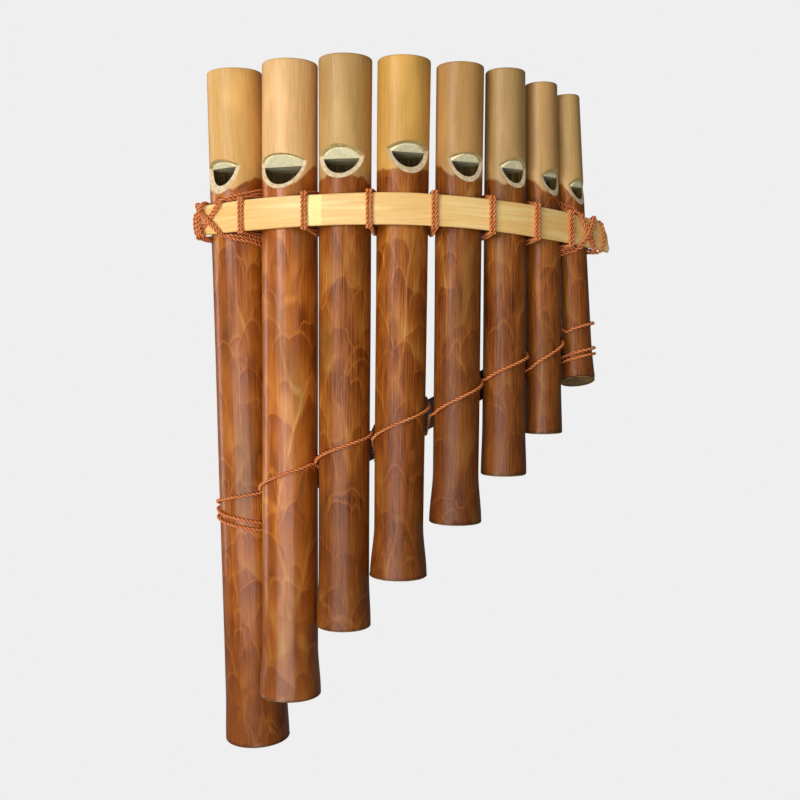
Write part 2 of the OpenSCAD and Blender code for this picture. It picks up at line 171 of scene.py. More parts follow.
def band_r(i):
    return float(pipe_r(i, arm(i)))


def spacing(i):
    return band_r(i) + band_r(i + 1) + PIPE_GAP[i]


def plan():
    """Headings of the row, headings between pipes, and places of the pipes level with the band."""
    headings, stations = [ROW_START], [np.array(ROW_FOOT, float)]
    for i in range(LAST):
        headings.append(headings[i] + math.degrees(spacing(i) / ROW_R))
        chord = (headings[i] + headings[i + 1]) / 2
        stations.append(stations[i] + spacing(i) * along_x(chord))
    chords = [(a + b) / 2 for a, b in zip(headings, headings[1:])]
    return headings, chords, stations


HEADING, CHORD, STATION = plan()
LEAN_ALL = math.acos(math.cos(math.radians(LEAN_SIDE[0])) * math.cos(math.radians(LEAN_BACK[0])))
BAND_Z = (arm(0) * math.cos(LEAN_ALL) + (FOOT_D[0] / 2 - EDGE_R) * math.sin(LEAN_ALL)
          + EDGE_R * (1 - math.cos(LEAN_ALL)))


def axis_at(i, z):
    lean = [math.tan(math.radians(LEAN_SIDE[i])), math.tan(math.radians(LEAN_BACK[i]))]
    return STATION[i] + (BAND_Z - z) * np.array(lean)


def radius_at(i, z):
    return float(pipe_r(i, z - BAND_Z + arm(i)))


def placed(i, points):
    """Points of a pipe's own frame, foot at the origin and mouth up, where the pipe stands."""
    lean = Euler((math.radians(LEAN_BACK[i]), math.radians(-LEAN_SIDE[i]), 0)).to_matrix()
    return (points - [0, 0, arm(i)]) @ np.array(lean).T + [*STATION[i], BAND_Z]


def smooth(points, n, closed=False):
    """Catmull-Rom curve through points, n steps between each pair."""
    p = np.array(points, float)
    if closed:
        p = np.vstack([p[-1:], p, p[:2]])
    else:
        p = np.vstack([2 * p[0] - p[1], p, 2 * p[-1] - p[-2]])
    t = (np.arange(n) / n)[:, None]
    out = []
    for a, b, c, d in zip(p, p[1:], p[2:], p[3:]):
        out.append((2 * b + (c - a) * t + (2 * a - 5 * b + 4 * c - d) * t ** 2
                    + (3 * b - a - 3 * c + d) * t ** 3) / 2)
    out = np.vstack(out)
    return out if closed else np.vstack([out, p[-2]])


# Strips and twine, worked out as in the CAD model

def touch(i, z, side):
    out = radius_at(i, z) + PLAY + STRIP_T / 2
    return axis_at(i, z) + side * out * front(HEADING[i])


def band_route(side):
    inner = [touch(i, BAND_Z, side) for i in range(COUNT)]
    first = inner[0] - BAND_END[0] * along_x(HEADING[0])
    last = inner[LAST] + BAND_END[1] * along_x(HEADING[LAST])
    return np.array([first, *inner, last])


def slant_height(x):
    return SLANT_Z + SLANT_RISE * x


def slant_route():
    inner = [touch(i, slant_height(STATION[i][0]), -1) for i in range(COUNT)]
    first = inner[0] - SLANT_END * along_x(HEADING[0])
    last = inner[LAST] + SLANT_END * along_x(HEADING[LAST])
    return np.array([first, *inner, last])


BAND = {side: band_route(side) for side in (1, -1)}
SLANT = slant_route()


def halfway(route, i):
    return smooth(route, 2)[2 * i + 3]


def band_height(x):
    ends = BAND[1][0][0], BAND[1][-1][0]
    left = BAND_DROP[0] * ((x - CREST_X) / (ends[0] - CREST_X)) ** 2
    right = BAND_DROP[1] * ((x - CREST_X) / (ends[1] - CREST_X)) ** 2
    return BAND_Z - np.where(x < CREST_X, left, right)


def tip_drop(x, side):
    """Fall of the bands' top edge where their end corners are rounded."""
    ends = BAND[side][0][0], BAND[side][-1][0]
    turned = [1 - abs(x - end) / reach for end, reach in zip(ends, TIP_LEN)]
    end = int(np.argmax(turned))
    u = min(max(turned[end], 0), 1)
    return TIP_FALL[end] * (1 - math.sqrt(1 - u * u))


def at_height(xy, z):
    return np.array([xy[0], xy[1], float(z)])


def lash_turn(i, turn):
    a, b = halfway(BAND[1], i), halfway(BAND[-1], i)
    through = (b - a) / np.linalg.norm(b - a)
    shift = (turn - 0.5) * CORD_PITCH * np.array([through[1], -through[0]])
    za, zb = band_height(a[0]), band_height(b[0])
    middle = STATION[i] + (band_r(i) + PIPE_GAP[i] / 2) * along_x(CHORD[i])
    half, stack = BAND_W / 2, BAND_W / 2 + LASH_OFF + turn * CORD_PITCH

    def corner(c, z, way, t):
        t = math.radians(t)
        return at_height(c + (STRIP_T / 2 + LASH_OFF * math.cos(t)) * way, z + LASH_OFF * math.sin(t))

    return [
        *[corner(a + shift, za + half, -through, t) for t in (90, 45, 0)],
        *[corner(a + shift, za - half, -through, t) for t in (0, -45, -90)],
        at_height(middle, (za + zb) / 2 - stack),
        *[corner(b + shift, zb - half, through, t) for t in (-90, -45, 0)],
        *[corner(b + shift, zb + half, through, t) for t in (0, 45, 90)],
        at_height(middle, (za + zb) / 2 + stack),
    ]


def end_place(i, t, n, z):
    way = -1 if i == 0 else 1
    xy = STATION[i] + way * t * along_x(HEADING[i]) + n * front(HEADING[i])
    return at_height(xy, band_height(xy[0]) + z)


def crossing(i, k, up):
    r = band_r(i)
    on_pipe = r + CORD_R + CORD_PLAY
    on_band = on_pipe + PLAY + STRIP_T
    half, over, d = BAND_W / 2, BAND_W / 2 + CORD_R + CORD_PLAY, k * CORD_PITCH
    lift = CORD_PITCH if up < 0 else 0
    stack = half + LASH_OFF + 2 * CORD_PITCH + d

    def on_round(a):
        a = math.radians(a)
        return -(on_pipe + 0.1) * math.sin(a), (on_pipe + 0.1) * math.cos(a)

    right = [
        (-r - 0.9, 0, up * stack),
        (*on_round(60), up * (over + 1.2 + d)),
        (*on_round(30), up * (over + 0.2 + 0.9 * d)),
        (-1.9 - d, on_pipe + 1, up * (over + 0.1)),
        (-1.1 - d, on_band + 0.1, up * (half - 0.9)),
        (0.2 * r - d, on_band + lift, up * 0.2 * half),
        (0.65 * r - d, on_band + lift / 2, -up * 0.5 * half),
        (0.9 * r - d / 2, on_band - 0.5, -up * (over - 0.1)),
        (on_pipe + 0.3 + d / 2, on_pipe / 2, -up * (over - 0.6)),
        (on_pipe + 0.2 + d, 0, -up * (over - 1.4)),
    ]
    back = [(t, -n, z) for t, n, z in right[8:0:-1]]
    return [end_place(i, *p) for p in right + back]


def upright(i, k):
    e, r = 0 if i == 0 else 1, band_r(i)
    out = r + PLAY + STRIP_T + CORD_R + 2 * CORD_PLAY + (END_TURNS[e] - 1) / 2 * CORD_PITCH
    t = BAND_END[e] - END_BARE[e] - CORD_R - END_BOW - k * CORD_PITCH
    side = max(t, r + CORD_R + 2 * CORD_PLAY + (END_TURNS[e] - 1 - k) * CORD_PITCH)
    over = BAND_W / 2 + CORD_R + CORD_PLAY
    high = over - tip_drop(end_place(i, t, out, 0)[0], 1)
    top, foot = [
        [(t, 1.6 - out, z), (side, 0, z * 1.03), (t, out - 1.6, z), (t + END_BOW / 2, out, 0.7 * z)]
        for z in (high, -over)
    ]
    back = [(t + END_BOW * w, -out, z) for w, z in ((0.5, -0.7 * over), (1, 0), (0.5, 0.7 * high))]
    return [end_place(i, *p) for p in [*top, (t + END_BOW, out, 0), *foot[::-1], *back]]


def on_front(i, a):
    z = CORD_MID[i] + CORD_RISE[i] * a / 90 - CORD_BOW * (a / 90) ** 2
    return at_height(axis_at(i, z) + (radius_at(i, z) + CORD_R + 2 * CORD_PLAY) * front(a), z)


def front_run(i):
    a0 = -RUN_END if i == 0 else CHORD[i - 1] - RUN_TO_GAP
    a1 = RUN_END if i == LAST else CHORD[i] + RUN_TO_GAP
    return [on_front(i, mix(a0, a1, k / 8)) for k in range(9)]


def gap_run(i):
    c = halfway(SLANT, i)
    z, way, back = slant_height(c[0]), along_x(CHORD[i]), -front(CHORD[i])
    near = axis_at(i, z) + radius_at(i, z) * way
    far = axis_at(i + 1, z) - radius_at(i + 1, z) * way
    middle, s, off, t = (near + far) / 2, CORD_FIRST[i], CORD_R + 2 * CORD_PLAY, STRIP_T / 2
    edge = SLANT_W / 2 + off
    return [
        at_height(middle, front_run(i)[8][2] + s * CORD_PITCH),
        at_height(c - t * back, z + s * edge), at_height(c + t * back, z + s * edge),
        at_height(c + (t + off) * back, z + s * (edge - off)),
        at_height(c + (t + off) * back, z - s * (edge - off)),
        at_height(c + t * back, z - s * edge), at_height(c - t * back, z - s * edge),
        at_height(middle, front_run(i + 1)[0][2] - s * CORD_PITCH),
    ]


def turns(i, rows):
    points = []
    for a, z, out in rows:
        reach = radius_at(i, z) + CORD_R + 2 * CORD_PLAY + out
        points.append(at_height(axis_at(i, z) + reach * front(a), z))
    return smooth(points, 2)


def lower_route():
    route = [*turns(0, FIRST_TURNS), *front_run(0)]
    for i in range(1, COUNT):
        route += [*gap_run(i - 1), *front_run(i)]
    return [*route, *turns(LAST, LAST_TURNS)]


# Mesh making

MERGE = 1e-4


class Shape:
    """Points and faces in millimetres, gathered ring by ring, with a texture place for each point."""

    def __init__(self):
        self.points, self.places, self.faces, self.finish = [], [], [], []

    def rings(self, rings, places=None, finish=0, closed=True, flip=False):
        """Quads between rings, each an array of points with its own texture place."""
        rings = np.array(rings, float)
        places = rings if places is None else np.array(places, float)
        start, (count, width) = len(self.points), rings.shape[:2]
        self.points.extend(rings.reshape(-1, 3))
        self.places.extend(places.reshape(-1, 3))
        for j in range(count - 1):
            for k in range(width if closed else width - 1):
                a, b = start + j * width + k, start + j * width + (k + 1) % width
                quad = [a, b, b + width, a + width]
                self.faces.append(quad[::-1] if flip else quad)
                self.finish.append(finish)

    def piece(self, name, slot, nodes, materials, sharp=50):
        """The shape as a Blender mesh that stands for nodes, with the points that coincide joined."""
        points, places = np.array(self.points), np.array(self.places)
        rounded = np.round(points / MERGE).astype(np.int64)
        first, index = np.unique(rounded, axis=0, return_index=True, return_inverse=True)[1:]
        index = index.reshape(-1)
        faces, finish = [], []
        for face, kind in zip(self.faces, self.finish):
            loop = [int(index[v]) for v in face]
            loop = [v for j, v in enumerate(loop) if v != loop[j - 1]]
            if len(set(loop)) > 2:
                faces.append(loop)
                finish.append(kind)
        mesh = bpy.data.meshes.new(name)
        mesh.from_pydata((points[first] * MM).tolist(), [], faces)
        for material in materials:
            mesh.materials.append(material)
        mesh.polygons.foreach_set("material_index", finish)
        mesh.polygons.foreach_set("use_smooth", [True] * len(faces))
        mesh.set_sharp_from_angle(angle=math.radians(sharp))
        place = mesh.attributes.new("place", "FLOAT_VECTOR", "POINT")
        place.data.foreach_set("vector", places[first].ravel())
        mesh.validate()
        piece = bpy.data.objects.new(name, mesh)
        bpy.context.scene.collection.objects.link(piece)
        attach(piece, "root")
        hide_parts(*nodes)


# Pipes: columns run round the pipe, those of the window first, and rows run up it

WINDOW_COLUMNS = 36
OTHER_COLUMNS = 60
ROW_STEP = 5
WINDOW_MARGIN = 1.5
WORN = 0.22
WORN_IN = 0.35
FOOT_DISH = 0.35
MOUTH_BEVEL = 0.12
LIP_MARGIN = 0.6
FOOT_CUT_REACH = 14


def columns(turn, half):
    """Angles of the columns, from one corner of the window round to it again."""
    window = turn + half * np.sin(np.linspace(-np.pi / 2, np.pi / 2, WINDOW_COLUMNS + 1))
    others = np.linspace(turn + half, turn + 360 - half, OTHER_COLUMNS + 1)[1:-1]
    return np.concatenate([window, others])


def round_point(angles, r, z):
    a = np.radians(angles)
    r, z = np.broadcast_to(r, a.shape), np.broadcast_to(z, a.shape)
    return np.stack([r * np.sin(a), -r * np.cos(a), z], axis=1)


def uneven(i, angles, z):
    """How far a real culm falls short of a true round, in millimetres."""
    a, z = np.radians(angles), np.asarray(z, float)
    oval = 0.5 + 0.5 * np.sin(2 * a + i * 1.7 + z * 0.008)
    swell = 0.5 + 0.5 * np.sin(z * 0.06 + i * 2.3 + np.sin(a + i))
    ridge = 0.5 + 0.5 * np.sin(5 * a + 0.9 * i + z * 0.02)
    return 0.14 * oval + 0.09 * swell + 0.05 * ridge


def foot_cut(i, points):
    """Lifts the last pipe's foot to its slanting saw cut."""
    if i != LAST:
        return points
    lift = (FOOT_D[i] / 2 - points[:, 1]) * math.tan(math.radians(LAST_FOOT_SLANT))
    z = np.clip(points[:, 2], 0, FOOT_CUT_REACH)
    points[:, 2] += np.maximum(lift, 0) * (1 - z / FOOT_CUT_REACH)
    return points


def pipe(i, finishes):
    """One pipe; finishes are its skin, cut faces, bore and foot."""
    length, turn, half = PIPE_LEN[i], WINDOW_TURN[i], WINDOW_HALF[i]
    corner = length - WINDOW_DOWN[i]
    r_win, r_in = float(pipe_r(i, corner)), bore_r(i)
    apex = r_win * math.cos(math.radians(half))
    half_in = math.degrees(math.acos(apex / r_in))
    outer, inner = columns(turn, half), columns(turn, half_in)
    in_window = np.arange(len(outer)) <= WINDOW_COLUMNS

    def edge(angles, r, rise, power):
        depth = np.maximum(r * np.cos(np.radians(angles - turn)) - apex, 0)
        return corner + rise * (np.where(in_window, depth, 0) / (r_win - apex)) ** power

    def wall(z):
        z = np.broadcast_to(z, outer.shape)
        return round_point(outer, pipe_r(i, z) - uneven(i, outer, z), z)

    def bore(z):
        return round_point(inner, r_in, z)

    low, high = edge(outer, r_win, -WINDOW_FALL[i], SCOOP), edge(outer, r_win, WINDOW_RISE[i], 1)
    low_in, high_in = edge(inner, r_in, -WINDOW_FALL[i], SCOOP), edge(inner, r_in, WINDOW_RISE[i], 1)
    below, above = corner - WINDOW_FALL[i] - WINDOW_MARGIN, corner + WINDOW_RISE[i] + WINDOW_MARGIN
    worn = WORN * np.where(in_window, np.sqrt(np.clip((low.max() - low) / WINDOW_FALL[i], 0, 1)), 0)

    def worn_edge(z, down):
        points = wall(z)
        points[:, :2] *= (1 - WORN_IN * worn / r_win)[:, None]
        points[:, 2] += down * WORN_IN * worn
        return points

    flat_r, shape = FOOT_D[i] / 2 - EDGE_R, Shape()
    arc = np.radians([0, 22, 45, 68, 90])
    foot = [round_point(outer, r * flat_r, FOOT_DISH * (1 - r * r)) for r in (0, 0.25, 0.5, 0.75, 0.93)]
    foot += [round_point(outer, flat_r + (EDGE_R - 0.05) * math.sin(a), EDGE_R * (1 - math.cos(a)))
             for a in arc[:-1]]
    flare = [wall(z) for z in np.linspace(EDGE_R, FLARE_LEN, 10)]
    shaft = [wall(z) for z in np.arange(FLARE_LEN + ROW_STEP, below, ROW_STEP)]
    to_low = [wall(mix(below, low - worn, t)) for t in (0, 0.3, 0.55, 0.75, 0.9, 1)]
    shape.rings([foot_cut(i, ring) for ring in foot], finish=3)
    cut_flare = [foot_cut(i, ring) for ring in [foot[-1], *flare]]
    shape.rings([*cut_flare, *shaft, *to_low, worn_edge(low, -1)])
    from_high = [wall(mix(above, high + worn, t)) for t in (1, 0.85, 0.6, 0.3, 0)]
    mouth_r, mouth_z = MOUTH_D[i] / 2 - EDGE_R, length - EDGE_R
    upper = [wall(z) for z in np.arange(above + ROW_STEP, mouth_z - 1, ROW_STEP)]
    lip_r = EDGE_R - uneven(i, outer, mouth_z)
    lip = [round_point(outer, mouth_r + lip_r * math.cos(a), mouth_z + EDGE_R * math.sin(a)) for a in arc]
    shape.rings([worn_edge(high, 1), *from_high, *upper, wall(mouth_z - LIP_MARGIN), *lip])
    bevel_z = length - MOUTH_BEVEL
    shape.rings([lip[-1], round_point(inner, r_in + MOUTH_BEVEL, length), bore(bevel_z)], finish=1)
    inside = [bore(z) for z in np.linspace(bevel_z, above, 6)] + [bore(high_in)]
    shape.rings(inside, finish=2)
    closed_end = [round_point(inner, r_in * t, bore_z(i)) for t in (1, 0.6, 0)]
    lower = [bore(z) for z in np.linspace(below, bore_z(i), 12)]
    shape.rings([bore(low_in), *lower, *closed_end], finish=2)
    window = slice(0, WINDOW_COLUMNS + 1)
    edges = (worn_edge(low, -1), bore(low_in), False), (worn_edge(high, 1), bore(high_in), True)
    for start, stop, flip in edges:
        cut = [mix(start[window], stop[window], t) for t in (0, 0.18, 0.6, 1)]
        shape.rings(cut, finish=1, closed=False, flip=flip)
    shape.places = list(np.array(shape.points))
    shape.points = list(placed(i, np.array(shape.points)))
    shape.piece(f"bamboo_pipe_{i + 1}", "lacquered_bamboo", [f"pipe_{i + 1}"], finishes)


# Strips: a rounded section carried along a route

STRIP_STEPS = 14
STRIP_ROUND = 0.45
STRIP_CROWN = 0.3
STRIP_FRAY = 0.5


def strip_section(width):
    """The strip's section, outside face first, as (across its thickness, up its width) points."""
    half_w, half_t = width / 2, STRIP_T / 2
    round_x, round_y = half_t - STRIP_ROUND, half_w - STRIP_ROUND
    corners = []
    for sx, sy, first in ((1, 1, 0), (-1, 1, 90), (-1, -1, 180), (1, -1, 270)):
        for a in np.radians(np.linspace(first, first + 90, 4)):
            arc = STRIP_ROUND * np.array([math.cos(a), math.sin(a)])
            corners.append(np.array([sx * round_x, sy * round_y]) + arc)
    face = np.linspace(-round_y, round_y, 11)[1:-1]
    crown = STRIP_CROWN * (1 - (face / half_w) ** 2)
    section = np.array([
        *[(half_t - STRIP_CROWN + c, v) for v, c in zip(face, crown)],
        *corners[:8],
        *[(-half_t, v) for v in face[::-1]],
        *corners[8:],
    ])
    outer_edge = (section[:, 0] > 0) & (np.abs(section[:, 1]) >= round_y)
    section[:, 0] -= np.where(outer_edge, STRIP_CROWN * section[:, 0] / half_t, 0)
    return section


def strip(name, slot, node, route, height, width, material, seed, band_side=0):
    """A strip along a route; a band_side of 1 or -1 rounds its tips as the front or rear band's."""
    chance = np.random.default_rng(seed)
    path = smooth(route, STRIP_STEPS)
    way = np.gradient(path, axis=0)
    way /= np.linalg.norm(way, axis=1)[:, None]
    out = np.stack([way[:, 1], -way[:, 0]], axis=1)
    run = np.concatenate([[0], np.cumsum(np.linalg.norm(np.diff(path, axis=0), axis=1))])
    section = strip_section(width)
    fray = chance.uniform(0, STRIP_FRAY, (2, len(section)))
    rings, places = [], []
    for k, (spot, side, s) in enumerate(zip(path, out, run)):
        waver = 0.3 * (0.12 * math.sin(s * 0.09 + seed) + 0.06 * math.sin(s * 0.31 + 2 * seed))
        squeeze = 1 - 0.012 * (1 + math.sin(s * 0.13 + seed))
        z = height(spot[0]) + section[:, 1] * squeeze + waver
        if band_side:
            z -= (0.5 + section[:, 1] / width) * tip_drop(spot[0], band_side)
        ends = {0: fray[0], len(path) - 1: -fray[1]}.get(k, np.zeros(len(section)))
        xy = spot + section[:, :1] * side + ends[:, None] * way[k]
        rings.append(np.column_stack([xy, z]))
        places.append(np.column_stack([np.full(len(section), s), section[:, 1], section[:, 0]]))
    shape = Shape()
    shape.rings(rings, places, flip=True)
    for ring, place, flip in ((rings[0], places[0], False), (rings[-1], places[-1], True)):
        middle = ring.mean(0)
        cap = [ring, mix(ring, middle, 0.5), mix(ring, middle, 1)]
        shape.rings(cap, [place] * 3, finish=1, flip=flip)
    shape.piece(name, slot, [node], [material, MATERIAL["cut"]], sharp=60)


# Twine: two plies twisted round each other along a route

PLY_SIDES = 7
PLY_R = 0.56 * CORD_R
PLY_OFF = 0.5 * CORD_R
TWIST = 3.2
RING_STEP = 0.3


def even_path(points, closed):
    """The route as a smooth curve with evenly spaced points."""
    path = smooth(points, 6, closed)
    if closed:
        path = np.vstack([path, path[:1]])
    run = np.concatenate([[0], np.cumsum(np.linalg.norm(np.diff(path, axis=0), axis=1))])
    count = max(int(run[-1] / RING_STEP), 8)
    spots = np.linspace(0, run[-1], count + 1)
    return np.stack([np.interp(spots, run, path[:, k]) for k in range(3)], axis=1), run[-1]


def carried_normals(path, closed):
    """Two normals at each point, turned as little as the route allows."""
    way = np.gradient(path, axis=0)
    if closed:
        way[0] = way[-1] = path[1] - path[-2]
    way /= np.linalg.norm(way, axis=1)[:, None]
    u = np.cross(way[0], [0.31, 0.52, 0.79])
    normals = []
    for t in way:
        u = u - (u @ t) * t
        u /= np.linalg.norm(u)
        normals.append(u)
    normals = np.array(normals)
    if closed:
        last, first, t = normals[-1], normals[0], way[0]
        slip = math.atan2(np.cross(last, first) @ t, last @ first)
        turn = np.linspace(0, slip, len(path))[:, None]
        normals = normals * np.cos(turn) + np.cross(way, normals) * np.sin(turn)
    return normals, np.cross(way, normals)


def twine(shape, points, closed=False, seed=0):
    """Adds twine along a route to shape and gives its length."""
    path, length = even_path(points, closed)
    u, v = carried_normals(path, closed)
    turns_made = round(length / TWIST) if closed else length / TWIST
    phase = np.linspace(0, 2 * math.pi * turns_made, len(path)) + seed
    sides = np.linspace(0, 2 * math.pi, PLY_SIDES, endpoint=False)
    run = np.linspace(0, length, len(path))
    for ply in (0, math.pi):
        a = (phase + ply)[:, None]
        offset = u * np.cos(a) + v * np.sin(a)
        loose = 1 + 0.05 * np.sin(run * 1.3 + seed + ply)[:, None]
        centre = path + PLY_OFF * offset
        rings, places = [], []
        for s in sides:
            way_out = u * np.cos(a + s) + v * np.sin(a + s)
            rings.append(centre + PLY_R * way_out * loose)
            crest = np.full(len(run), math.cos(s))
            places.append(np.column_stack([run + 40 * seed, np.full(len(run), math.sin(s) + ply), crest]))
        rings, places = np.array(rings).transpose(1, 0, 2), np.array(places).transpose(1, 0, 2)
        shape.rings(rings, places)
        if not closed:
            for end, flip in ((0, True), (-1, False)):
                tip = np.repeat(rings[end].mean(0)[None], PLY_SIDES, axis=0)
                shape.rings([rings[end], mix(rings[end], tip, 0.6), tip], [places[end]] * 3, flip=flip)
    return length


# Node materials

def rgb(red, green, blue):
    """Linear colour from the usual 0 to 255 values."""
    return tuple((c / 255 / 12.92 if c < 11 else ((c / 255 + 0.055) / 1.055) ** 2.4)
                 for c in (red, green, blue)) + (1.0,)


class Shade:
    """Short names for building one material's nodes."""

    def __init__(self, name):
        self.material = bpy.data.materials.new(name)
        self.material.use_nodes = True
        self.tree = self.material.node_tree
        self.tree.nodes.clear()

    def put(self, socket, value):
        if isinstance(value, bpy.types.NodeSocket):
            self.tree.links.new(value, socket)
        elif value is not None:
            socket.default_value = value

    def node(self, kind, inputs=(), **settings):
        node = self.tree.nodes.new("ShaderNode" + kind)
        for name, value in settings.items():
            setattr(node, name, value)
        for key, value in dict(inputs).items():
            self.put(node.inputs[key], value)
        return node

    def math(self, operation, a, b=None):
        return self.node("Math", {0: a, 1: b}, operation=operation).outputs[0]

    def add(self, a, b):
        return self.math("ADD", a, b)

    def times(self, a, b):
        return self.math("MULTIPLY", a, b)

    def minus(self, a, b):
        return self.math("SUBTRACT", a, b)

    def step(self, value, low, high, to=(0.0, 1.0)):
        """Smooth step from to[0] at low to to[1] at high."""
        inputs = {"Value": value, "From Min": low, "From Max": high, "To Min": to[0], "To Max": to[1]}
        return self.node("MapRange", inputs, interpolation_type="SMOOTHSTEP").outputs[0]

    def vector(self, operation, a, b):
        node = self.node("VectorMath", {0: a, 1: b}, operation=operation)
        return node.outputs["Value" if operation == "DOT_PRODUCT" else "Vector"]

    def split(self, vector):
        return self.node("SeparateXYZ", {0: vector}).outputs

    def noise(self, at, scale=1.0, detail=2.0, rough=0.5):
        """Noise that varies round 0.5."""
        inputs = {"Vector": at, "Scale": scale, "Detail": detail, "Roughness": rough}
        return self.node("TexNoise", inputs).outputs["Fac"]

    def stretched(self, at, x, y, z, seed=0.0):
        """A place shifted by seed and scaled along each axis."""
        moved = self.vector("ADD", at, (seed, seed * 0.7, seed * 1.3))
        return self.vector("MULTIPLY", moved, (x, y, z))

    def mix(self, factor, a, b):
        """Colour a turning into colour b: sockets 6 and 7 are the node's colour inputs."""
        return self.node("Mix", {"Factor": factor, 6: a, 7: b}, data_type="RGBA").outputs[2]

    def place(self):
        return self.node("Attribute", attribute_name="place").outputs["Vector"]

    def bump(self, height, distance, strength):
        inputs = {"Height": height, "Distance": distance, "Strength": strength}
        return self.node("Bump", inputs).outputs[0]

    def finish(self, **inputs):
        """Ends the material in a principled shader with these inputs."""
        shader = self.node("BsdfPrincipled")
        for name, value in inputs.items():
            self.put(shader.inputs[name.replace("_", " ")], value)
        self.node("OutputMaterial", {"Surface": shader.outputs[0]})
        return self.material


def scale_layer(s, at, tone, size, tall, seed):
    """One layer of overlapping rounded scales over tone: dark under its arch, with a pale rim."""
    spot = s.stretched(at, 1 / size, 1 / size, 1 / (size * tall), seed)
    cell = s.node("TexVoronoi", {"Vector": spot, "Scale": 1.0, "Randomness": 1.0})
    away = s.vector("SUBTRACT", spot, cell.outputs["Position"])
    up, distance, reach = s.split(away)[2], cell.outputs["Distance"], 0.58
    inside = s.step(distance, reach + 0.02, reach - 0.02)
    upper = s.step(up, -0.42, 0.2)
    rim = s.times(s.step(distance, reach - 0.06, reach - 0.02), s.step(up, -0.2, 0.3))
    shade = s.step(up, -0.4, 0.5, to=(0.58, 0.38))
    own = s.add(shade, s.times(rim, 0.25))
    cover = s.times(s.times(inside, upper), 0.7)
    return s.add(s.times(tone, s.minus(1.0, cover)), s.times(own, cover))


def bare_colour(s, i, at, seed, grain, cloud):
    """Pale fibres, broad lighter patches and a few brown specks."""
    bare = BARE[i]
    pale = [min(255, c * 1.05) for c in bare]
    deep = [bare[0] * 0.88, bare[1] * 0.84, bare[2] * 0.74]
    natural = s.mix(s.step(grain, 0.3, 0.66), rgb(*deep), rgb(*bare))
    natural = s.mix(s.step(cloud, 0.42, 0.72), natural, rgb(*pale))
    speck = s.node("TexVoronoi", {"Vector": s.stretched(at, 0.34, 0.34, 0.16, seed), "Scale": 1.0})
    dots = s.times(s.step(speck.outputs["Distance"], 0.075, 0.03), 0.45)
    return s.mix(dots, natural, rgb(120, 78, 34))


def lacquer_tone(s, i, at, seed, grain, cloud):
    """How pale the lacquer is: three layers of scales on a cloudy ground, pale lines and the fibres."""
    warp = s.node("TexNoise", {"Vector": s.stretched(at, 0.06, 0.06, 0.03, seed), "Scale": 1.0})
    bent = s.vector("ADD", at, s.vector("MULTIPLY", warp.outputs["Color"], (9.0, 9.0, 18.0)))
    tone = s.step(cloud, 0.3, 0.75, to=(0.35, 0.75))
    for size, tall, shift in SCALES:
        tone = scale_layer(s, bent, tone, size, tall, seed + shift)
    web = s.stretched(bent, 0.05, 0.05, 0.016, seed + 71)
    lines = s.node("TexVoronoi", {"Vector": web, "Scale": 1.0}, feature="DISTANCE_TO_EDGE")
    pale_line = s.times(s.step(lines.outputs["Distance"], 0.035, 0.005), s.step(cloud, 0.35, 0.6))
    tone = s.add(tone, s.times(pale_line, 0.16))
    return s.add(tone, s.times(s.minus(grain, 0.5), FIBRE[i]))


def lacquer_colour(s, i, at, seed, tone, cloud):
    """The lacquer's ramp, a grey haze, olive patches, and darkening towards the feet."""
    ramp = s.node("ValToRGB", {"Fac": tone})
    stops = ramp.color_ramp.elements
    colours = [rgb(*[c * (1 - DARKNESS[i]) for c in colour]) for colour in LACQUER]
    stops[0].position, stops[0].color = LACQUER_AT[0], colours[0]
    stops[1].position, stops[1].color = LACQUER_AT[-1], colours[-1]
    for position, colour in zip(LACQUER_AT[1:-1], colours[1:-1]):
        stops.new(position).color = colour
    haze = s.noise(s.stretched(at, 0.07, 0.07, 0.02, seed + 5), 1.0, 1.0)
    grey = s.step(haze, 0.45, 0.7, to=(0.0, 0.75 * GREYNESS[i]))
    lacquer = s.mix(grey, ramp.outputs["Color"], rgb(134, 92, 62))
    patches = s.noise(s.stretched(at, 0.09, 0.09, 0.025, seed + 9), 1.0, 1.0)
    lacquer = s.mix(s.step(patches, 0.56, 0.72, to=(0.0, 0.4)), lacquer, rgb(120, 84, 34))
    z = s.split(at)[2]
    # Darker towards the bottom of each pipe, darkest in the last few millimetres at the foot
    lacquer = s.mix(s.step(z, 90.0, 4.0, to=(0.0, 0.5)), lacquer, rgb(96, 48, 18))
    foot_darkening = s.times(s.step(s.add(z, s.times(cloud, 3.0)), 3.4, 1.6), 0.6)
    return s.mix(foot_darkening, lacquer, rgb(58, 26, 10))


def stained_part(s, i, at, seed, fibre):
    """Where the lacquer is: its edge wanders, drips along the fibres and dips beside the window."""
    wander = s.times(s.minus(s.noise(s.stretched(at, 0.25, 0.25, 0.0, seed), 1.0, 2.0), 0.5), 3.5)
    drips = s.times(s.minus(fibre, 0.5), 2.0)
    to_window = (*front(WINDOW_TURN[i]) / float(pipe_r(i, PIPE_LEN[i])), 0.0)
    dip = s.step(s.vector("DOT_PRODUCT", at, to_window), 0.15, 0.95, to=(0.0, STAIN_DIP[i]))
    from_mouth = s.minus(PIPE_LEN[i], s.split(at)[2])
    down = s.minus(s.add(from_mouth, s.add(wander, drips)), dip)
    return s.step(down, STAIN_DOWN[i] - 0.5, STAIN_DOWN[i] + 0.6)


